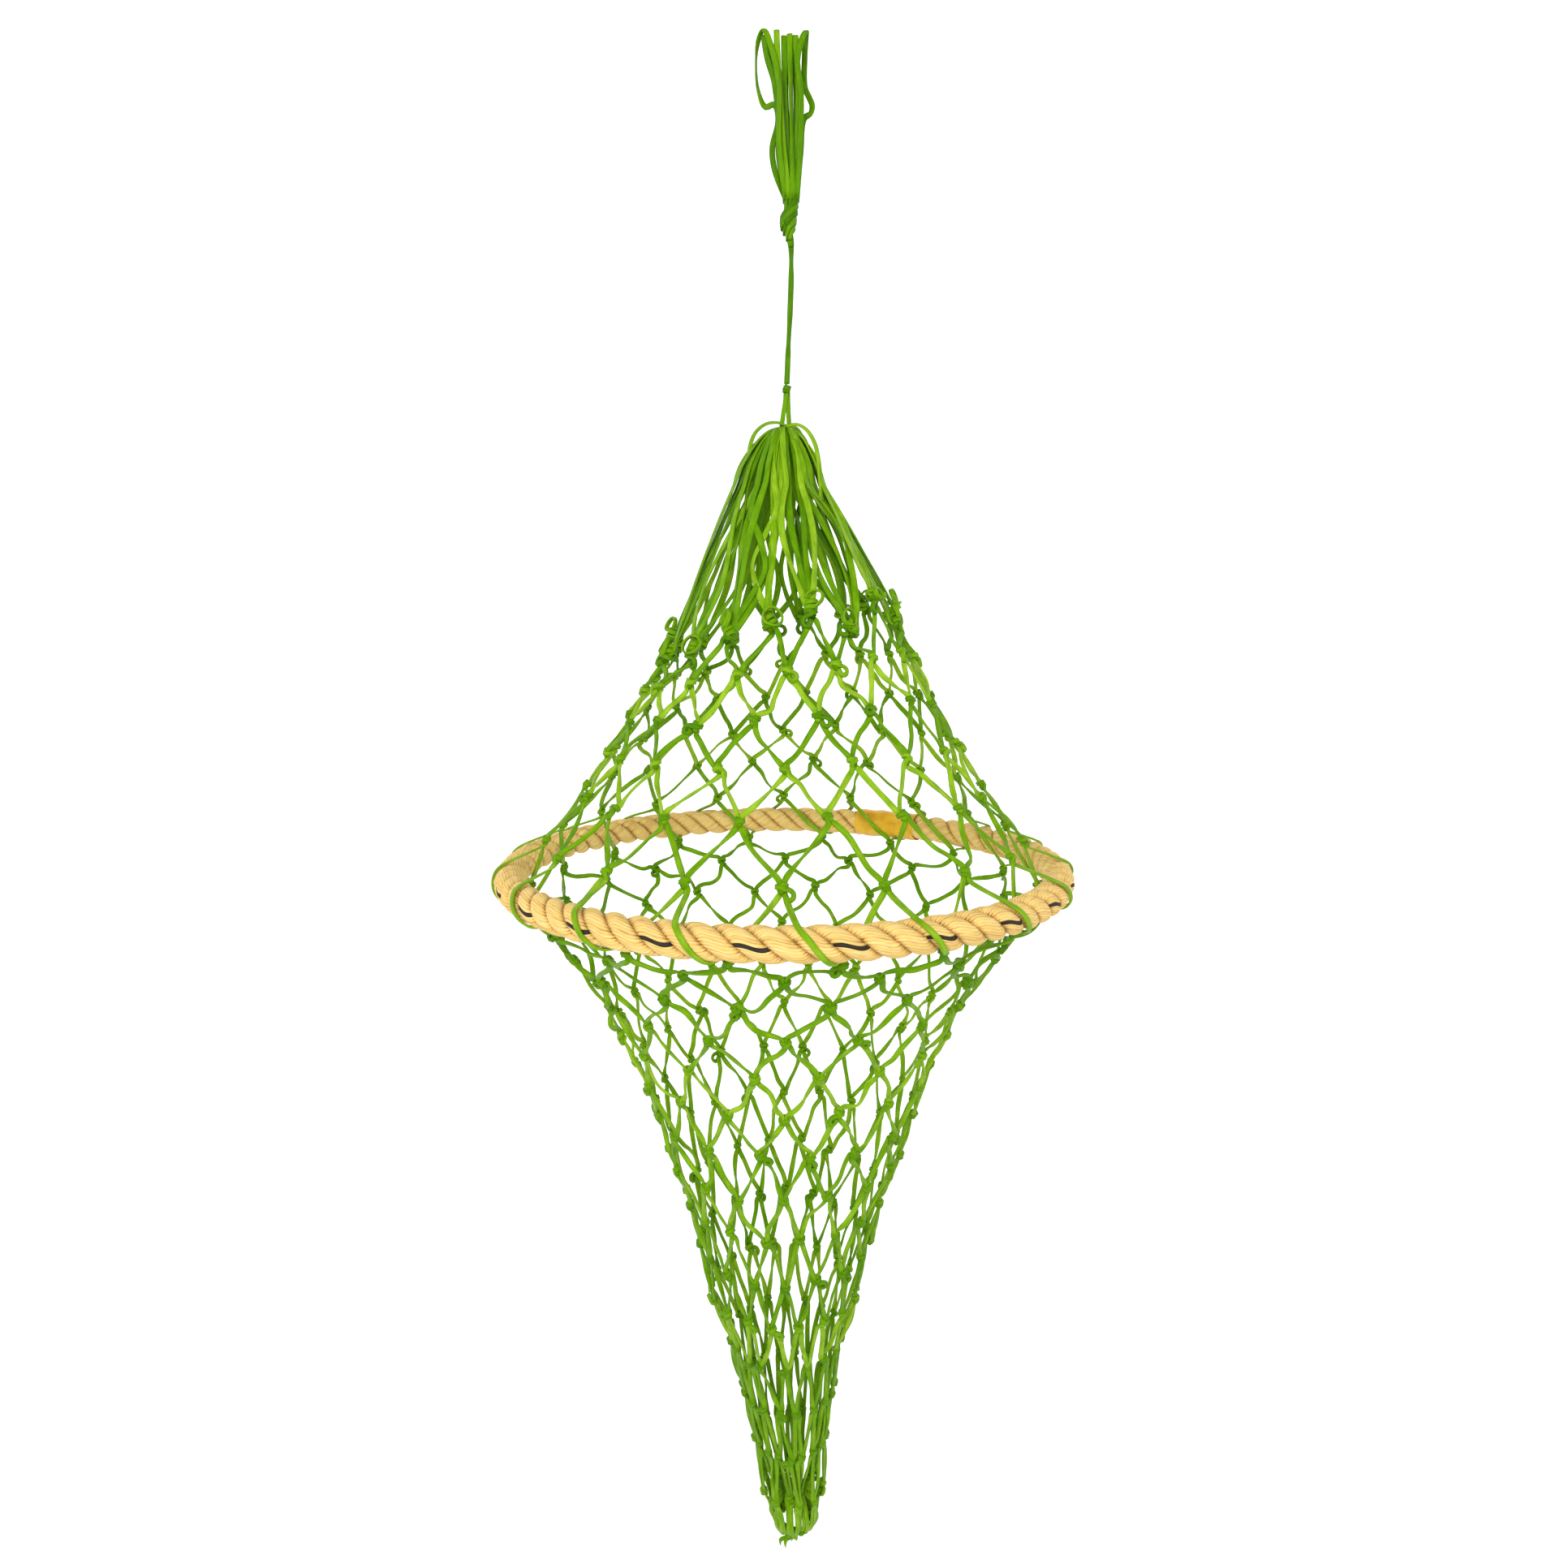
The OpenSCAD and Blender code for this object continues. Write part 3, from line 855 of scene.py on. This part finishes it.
def clew():
    """Long loops from the crown, two for each knot of the top row, with their bights in it."""
    strips = Strips()
    for k in range(mesh_count):
        knot = knots[0][k]
        azimuth = math.degrees(math.atan2(knot.place[1], knot.place[0]))
        for ribbon in range(ribbons_per_knot):
            rows = clew_leg(knot, azimuth - pitch / 4, False)
            rows += in_knot(knot, bight, 1, clew_width, clew_thick)
            rows += clew_leg(knot, azimuth + pitch / 4, True)
            strips.add(smooth(rows, 1.6, 9))
        hitches(strips, knot, azimuth)
    piece = ribbon_piece(strips, "clew_twine", shaded_twine, "clew_strands")
    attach(piece, "cone_net")


# Slack arcs beside the crown: x, y and the height from the crown
crown_arcs = (
    ((3, -3, -0.5), (-4, -5, 1.6), (-11, -6, 0.6), (-17, -6, -4), (-20.5, -6, -12), (-21, -7, -22),
     (-20, -8, -34)),
    ((-1, -4, -1), (7, -5, 0.6), (13, -6, -2.5), (18, -6, -10), (20.5, -8, -21), (21.5, -10, -33),
     (22, -14, -44)),
    ((1, 3, -0.5), (6, 7, 0.8), (10, 13, -3), (12, 19, -12), (13, 22, -26), (14, 25, -40)))


def crown():
    """The gathered crown: close turns on the axis, and slack arcs on the left, on the right and behind."""
    strips = Strips()
    top = vector(0.0, 0, crown_z - 2)
    for i in range(3):
        tilt = turned(z_axis, y_axis, -30 + 25 * i)
        centre = top + vector(i - 1, 0, -1.2 * i)
        wound(strips, centre, tilt, 2.6 + 0.7 * i, 1.4, 2.6, 3.2, 1.2, start=1.9 * i)
    for arc in crown_arcs:
        rows = []
        for x, y, z in arc:
            facing = unit(vector(x * 0.5, 1.5 * y, z + 12))
            rows.append(point(vector(x, y, crown_z + z), facing, 3.6, 1.3, 0.1))
        strips.add(smooth(rows, 1.4, 8))
    piece = ribbon_piece(strips, "crown_twine", twine, "crown_seizing")
    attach(piece, "cone_net")


def eye():
    """The two strands between the small knot and the crown."""
    strips = Strips()
    for side in (-1, 1):
        route = ((1.5 + side * 0.6, line_knot_z - 1.5), (1.4 + side * 0.8, line_knot_z - 7),
                 (1 + side * 1.5, line_knot_z - 14), (0.6 + side * 2.4, crown_z - 1))
        facing = unit(vector(side * 0.6, -1, 0))
        rows = [point(vector(x, 0.3 * side, z), facing, 3.2, 0.95, 0.3) for x, z in route]
        strips.add(smooth(rows, 1.2, 6))
    piece = ribbon_piece(strips, "eye_twine", twine, "crown_eye")
    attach(piece, "eye")


def line_knot():
    """The small knot at the end of the drop cord: turns round the cord, and one across them."""
    strips = Strips()
    centre = vector(1.5, 0, line_knot_z)
    wound(strips, centre, unit(vector(0.35, 0.1, 1)), 1.5, 2.2, 3.4, 2.7, 1.1, swell=0.5)
    beside = centre + vector(0.2, 0, -0.2)
    wound(strips, beside, unit(vector(1, 0.2, 0.5)), 1.7, 0.9, 1.2, 2.5, 1.0, start=2.4)
    piece = ribbon_piece(strips, "line_knot_twine", shaded_twine, "line_knot")
    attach(piece, "drop_line")


bundle_legs = 2 * len(loop_routes)
bundle_turns = 6


def girth(share):
    """Radius of the knot in the bundle, from its top at 0 to its neck at 1."""
    return 3.3 + 0.8 * math.sin(math.pi * min(share * 1.25, 1)) - 2.5 * max(share - 0.5, 0) / 0.5


def bundle_middle(share):
    """The knot's middle line, which bows to the left."""
    bow = 1.9 * math.sin(math.pi * share) ** 2
    return vector(bundle_x - bow, 0, knot_top_z - share * (knot_top_z - line_top_z))


def knot_leg(n):
    """Control rows of a loop's leg inside the knot. It twists as it goes down to the neck."""
    entry = np.array(leg_end(n))
    start = math.atan2(entry[1], entry[0] - bundle_x)
    spread = math.hypot(entry[0] - bundle_x, entry[1]) / 5.0
    rows = []
    for i in range(7):
        share = i / 6
        turn = start - 1.5 * share
        out = polar(1, math.degrees(turn), 0)
        if i == 0:
            place = entry + 1.5 * z_axis
        else:
            place = bundle_middle(share) + out * (girth(share) * spread * (0.95 - 0.2 * share))
        rows.append(point(place, out, loop_width, 0.95, 0.4))
    return rows


def knot_turn(n):
    """Control rows of a turn that slants across the knot. The lowest turns go further round."""
    turns = 0.8 if n < 4 else 1.3
    rows = []
    for i in range(13):
        share = i / 12
        turn = 0.9 + 1.05 * n - 2 * math.pi * turns * share
        slant = 0.16 * math.cos(turn)
        level = min(max(0.06 + 0.105 * n + 0.2 * share - slant, 0.0), 0.97)
        out = polar(1, math.degrees(turn), 0)
        place = bundle_middle(level) + out * (girth(level) + 0.5)
        rows.append(point(place, unit(out + 0.1 * z_axis), 3.0, 1.1, 0.7))
    return rows


def overhand_knot():
    """The knot in the bundle of loops: legs that run in at the top, and turns that slant across them."""
    strips = Strips()
    for n in range(bundle_legs):
        strips.add(smooth(knot_leg(n), 1.4, 5))
    for n in range(bundle_turns):
        strips.add(smooth(knot_turn(n), 1.2, 5))
    piece = ribbon_piece(strips, "overhand_knot_twine", deep_shaded_twine, "overhand_knot")
    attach(piece, "hanger")


clew()
crown()
eye()
line_knot()
overhand_knot()

# ---- Rope hoop ----

yarns = 20
points_per_yarn = 3
strand_points = yarns * points_per_yarn
rings_per_turn = 30
rope_rings = rope_turns * rings_per_turn
strand_half_height = 5.1  # the strands press flat against each other, so they are wider than high
strand_half_width = 6.1
strand_offset = 4.4  # from the rope's middle line to a strand's
tracer_strand = 3
tracer_half_width = 1.6  # in mesh columns


def strand_mesh(number):
    """A strand with its yarns as ridges. The yarns twist against the lay, so they run nearly along the rope.

    It goes from one cut end of the rope right round to the other. Both lie under the tape."""
    count, m = rope_rings, strand_points
    azimuth = sleeve_mid + 0.1 + (360 - 0.2) * np.arange(count + 1) / count
    lay = np.radians(120 * number - 360 * rope_turns * np.arange(count + 1) / count)
    yarn = 2 * np.pi * np.arange(m) / m
    depth = np.abs(np.sin(yarn * yarns / 2))
    uneven = rng.normal(0, 0.04, m)
    places = np.empty((count + 1, m, 3))
    hollow_shade = np.empty((count + 1, m))
    for i in range(count + 1):
        angle = yarn - lay[i] + 0.62 * math.sin(lay[i])
        facing = np.cos(angle - lay[i])
        edge_on = np.sin(angle - lay[i])
        radius = 1 / np.sqrt((facing / strand_half_height) ** 2 + (edge_on / strand_half_width) ** 2)
        radius = radius - 0.16 * (1 - depth ** 0.6) + uneven
        r = hoop_r + strand_offset * math.cos(lay[i]) + radius * np.cos(angle)
        z = hoop_z + strand_offset * math.sin(lay[i]) + radius * np.sin(angle)
        a = math.radians(azimuth[i])
        places[i] = np.stack([r * math.cos(a), r * math.sin(a), z], axis=1)
        # Painted shade: darker in the hollows between the yarns, and most where the strand turns in against
        # the others
        hollow_shade[i] = np.clip(1 - depth * 1.6, 0, 1) * 0.35 + np.clip(2 * (0.2 - facing), 0, 1)
    index, right = grid(count + 1, m)
    quads = corners(index[:-1], index[1:], right[1:], right[:-1]).reshape(-1, 4)
    caps = [index[0].tolist(), index[-1, ::-1].tolist()]
    low_u = np.broadcast_to(np.arange(m) / m, (count, m))
    step = 2 * math.pi * hoop_r / count
    low_v = np.broadcast_to(np.arange(count)[:, None] * step, (count, m))
    data = smooth_mesh(f"rope_strand_{number}_fibre", places.reshape(-1, 3), quads.tolist() + caps,
                       corners(low_u, low_u, low_u + 1 / m, low_u + 1 / m),
                       corners(low_v, low_v + step, low_v + step, low_v))
    add_values(data, "hollow_shade", hollow_shade.ravel())
    return data


def tracer_faces(number, face_count):
    """Which faces of a strand are black: a narrow band on the side that faces out of the rope."""
    ring, column = np.divmod(np.arange(face_count), strand_points)
    outward = np.cos(np.radians(120 * number - 360 * ring / rings_per_turn))
    from_middle = np.abs((column + strand_points // 2) % strand_points - strand_points // 2 - 0.5)
    black = (from_middle < tracer_half_width) & (outward > 0.3)
    black[-2:] = False  # the caps
    return black.astype(int)


def rope_strand(number):
    data = strand_mesh(number)
    node = f"rope_strand_{number}"
    piece = place_piece(node + "_fibre", data, rope_fibre, node)
    if number == tracer_strand:
        data.materials.append(tracer_yarn)
        data.polygons.foreach_set("material_index", tracer_faces(number, len(data.polygons)))
    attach(piece, "hoop")


tape_width = 19.0
sleeve_steps = 60  # along the rope
sleeve_points = 72  # round it


def tape_radius(share, turn, turns_round, length):
    """Outer radius of the sleeve: lobes over the strands, the edges of the wound tape, and creases."""
    lay = math.radians(-rope_turns * sleeve_half_arc * (2 * share - 1))
    lobes = 0.22 * math.cos(3 * (turn - lay))
    wound_share = (share * length / tape_width + turns_round) % 1
    edge = 0.16 * (wound_share - 0.5)
    crease = 0.07 * math.sin(5 * turn + 23 * share) * math.sin(31 * share + turn)
    return rope_r + (0.68 + lobes + edge + crease)


def tape_sleeve():
    """Tape wound round the rope's joint. It goes out along the sleeve's outside and back along its inside."""
    m = sleeve_points
    length = math.radians(2 * sleeve_half_arc) * hoop_r
    outside = [(i / sleeve_steps, True) for i in range(sleeve_steps + 1)]
    inside = [(share, False) for share, _ in reversed(outside)]
    places = []
    for share, outer in outside + inside:
        a = sleeve_mid + sleeve_half_arc * (2 * share - 1)
        for j in range(m):
            turn = 2 * math.pi * j / m
            r = tape_radius(share, turn, j / m, length) if outer else rope_r + 0.1
            places.append(polar(hoop_r + r * math.cos(turn), a, hoop_z + r * math.sin(turn)))
    n = len(outside + inside)
    index, right = grid(n, m)
    quads = corners(index, np.roll(index, -1, axis=0), np.roll(right, -1, axis=0), right).reshape(-1, 4)
    low_u = np.broadcast_to(np.arange(m) / m, (n, m))
    low_v = np.broadcast_to(np.arange(n)[:, None] * length / sleeve_steps, (n, m))
    high_v = low_v + length / sleeve_steps
    data = smooth_mesh("tape_sleeve_film", np.array(places), quads.tolist(),
                       corners(low_u, low_u, low_u + 1 / m, low_u + 1 / m),
                       corners(low_v, high_v, high_v, low_v))
    piece = place_piece("tape_sleeve_film", data, tape_film, "tape_sleeve")
    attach(piece, "hoop")


for number in (1, 2, 3):
    rope_strand(number)
tape_sleeve()

# ---- End of the tail ----

end_middle = 7.0 * x_axis  # the tail's end lies to the right of the net's axis
ring_r = 13.2  # the ring in which the closing cord lies
ring_z = end_z + 14.5
knot_azimuth = -110  # of the closing knot

# Half of an end loop, from a knot to the loop's tip: the share of the pitch to the tip, the height over
# the ring, how much wider than the ring it is, and the share of the way back to the knot
end_loop = ((0.4, 14, 4.6, 0.5), (0.35, 7, 4.2, 0), (0.25, 1.5, 2.4, 0), (0, -2.4, 0, 0))
end_loop_path = [(-side, *rest) for side, *rest in end_loop] + list(end_loop[-2::-1])

# The cut ends under the closing knot: x and y of the tip from the knot, and its height over end_z
cut_tips = ((-5.5, -1.5, 5), (-2, -2.5, 4), (2.2, 1, 6), (5.5, 0, 7), (-0.5, 3, 7))


def end_loops():
    """The last course: a turn in each knot, and a loop down to the closing twine."""
    strips = Strips()
    rows, sign = [], 1
    for step in range(mesh_count):
        k = (first_knot + step) % mesh_count
        upper, after = knots[last_row][k], knots[last_row][(k + 1) % mesh_count]
        turn_here, turn_after = lap_route(upper), lap_route(after)
        rows += in_knot(upper, turn_here, sign)
        a = -90 + pitch * (k + 1)
        low_r = ring_r + rng.uniform(-2.5, 1.0)
        out = unit(polar(1, a, 0))
        start, finish = upper.at(*turn_here[-1][0]), after.at(*turn_after[0][0])
        for side, lift, r, pull in end_loop_path:
            place = polar(low_r + r, a + side * pitch, ring_z + lift) + end_middle
            near = start if side < 0 else finish
            place = place + (near - place) * pull
            rows.append(point(place, sign * out, bar_width, bar_thick, 0.5))
    strips.add(smooth(rows, 0.8, 5))
    piece = ribbon_piece(strips, "end_loops_twine", shaded_twine, "end_loops")
    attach(piece, "tail")


def closing():
    """The twine through the end loops, its knot, and its spiky trimmed ends."""
    strips = Strips()
    rows = []
    for i in range(73):
        a = knot_azimuth + 5.15 * i
        r = ring_r - 0.8 + 1.9 * math.sin(math.radians(9 * a))
        z = ring_z + 0.9 + 1.1 * math.cos(math.radians(a * 3))
        rows.append(point(polar(r, a, z) + end_middle, unit(polar(1, a, 0.5)), 3.0, 1.6, 0.6))
    strips.add(smooth(rows, 1.0, 4))
    piece = ribbon_piece(strips, "closing_cord_twine", shaded_twine, "closing_cord")
    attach(piece, "tail")

    centre = polar(ring_r - 1, knot_azimuth, ring_z - 2.6) + end_middle
    strips = Strips()
    for i, axis in enumerate(((1, 0.2, 0.3), (0.3, 0.2, 1), (0.7, 0.1, -0.8))):
        wound(strips, centre, unit(np.array(axis, float)), 2.1, 1.3, 2.4, 2.8, 1.1, start=1.7 * i)
    piece = ribbon_piece(strips, "closing_knot_twine", shaded_twine, "closing_knot")
    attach(piece, "tail")

    strips = Strips(8)
    top = centre - 1.5 * z_axis
    for i, (x, y, lift) in enumerate(cut_tips):
        tip = vector(top[0] + x, top[1] + y, end_z + lift)
        half = (top + tip) / 2 + vector(0.5 * x, 0, 0.6)
        facing = unit(vector(0.4 * (i - 2), -1, 0.1))
        rows = [point(top, facing, 2.4, 1.0, 0.6), point(half, facing, 2.6, 0.8, 0.3),
                point(tip, facing, 0.5, 0.4, 0)]
        strips.add(smooth(rows, 1.0, 5))
    piece = ribbon_piece(strips, "cut_ends_twine", twine, "cut_ends")
    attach(piece, "tail")


end_loops()
closing()

# ---- Floor and light ----


# In metres, as is all of this section
floor_z = -1.45
wall_r = 4.2
wall_top = 5.0
bend_r = 1.6  # where the floor curves up into the wall
bend_steps = 12
wall_sides = 72
glow = (("From Min", -2.5), ("From Max", 2.4), ("To Min", 0.7), ("To Max", 1.35))  # by y, front to back


def backdrop():
    """A pale floor well under the net, that curves up into a round wall. It glows, most at the back."""
    outline = [(0.02, floor_z), (wall_r - bend_r, floor_z)]
    for i in range(1, bend_steps + 1):
        turn = math.radians(90 * i / bend_steps)
        outline.append((wall_r - bend_r + bend_r * math.sin(turn), floor_z + bend_r * (1 - math.cos(turn))))
    outline.append((wall_r, wall_top))
    places = [tuple(polar(r, 360 * j / wall_sides, z)) for r, z in outline for j in range(wall_sides)]
    index, right = grid(len(outline), wall_sides)
    faces = corners(index[:-1], right[:-1], right[1:], index[1:]).reshape(-1, 4).tolist()
    faces.append(index[0].tolist())
    data = bpy.data.meshes.new("backdrop")
    data.from_pydata(places, [], faces)
    data.polygons.foreach_set("use_smooth", [True] * len(faces))
    paper = Nodes("backdrop_paper", 1.0, Specular_IOR_Level=0, Base_Color=(0, 0, 0, 1),
                  Emission_Color=(1, 1, 1, 1))
    place = paper.add("ShaderNodeSeparateXYZ")
    paper.link(paper.add("ShaderNodeNewGeometry").outputs["Position"], place.inputs["Vector"])
    strength = paper.add("ShaderNodeMapRange", interpolation_type="SMOOTHSTEP")
    for label, value in glow:
        strength.inputs[label].default_value = value
    paper.link(place.outputs["Y"], strength.inputs["Value"])
    paper.link(strength.outputs["Result"], paper.surface.inputs["Emission Strength"])
    data.materials.append(paper.material)
    add_object("backdrop", data)


def area_light(name, place, size, power):
    """A round soft light of a diameter in metres and a power in watts, aimed at the net."""
    data = bpy.data.lights.new(name, "AREA")
    data.shape = "DISK"
    data.size = size
    data.energy = power
    light = add_object(name, data)
    light.location = place
    light.rotation_euler = (Vector((0, 0, -0.5)) - Vector(place)).to_track_quat("-Z", "Y").to_euler()


def lights():
    area_light("key", (-0.4, -1.6, 0.3), 1.2, 23)
    area_light("fill", (1.6, -1.9, -0.4), 1.6, 8)
    area_light("back", (0.3, 2.0, 0.9), 1.8, 3)
    world = bpy.data.worlds.new("studio")
    world.use_nodes = True
    sky = world.node_tree.nodes["Background"]
    sky.inputs["Color"].default_value = (1, 1, 1, 1)
    sky.inputs["Strength"].default_value = 0.1
    bpy.context.scene.world = world
    bpy.context.scene.view_settings.view_transform = "Standard"


backdrop()
lights()
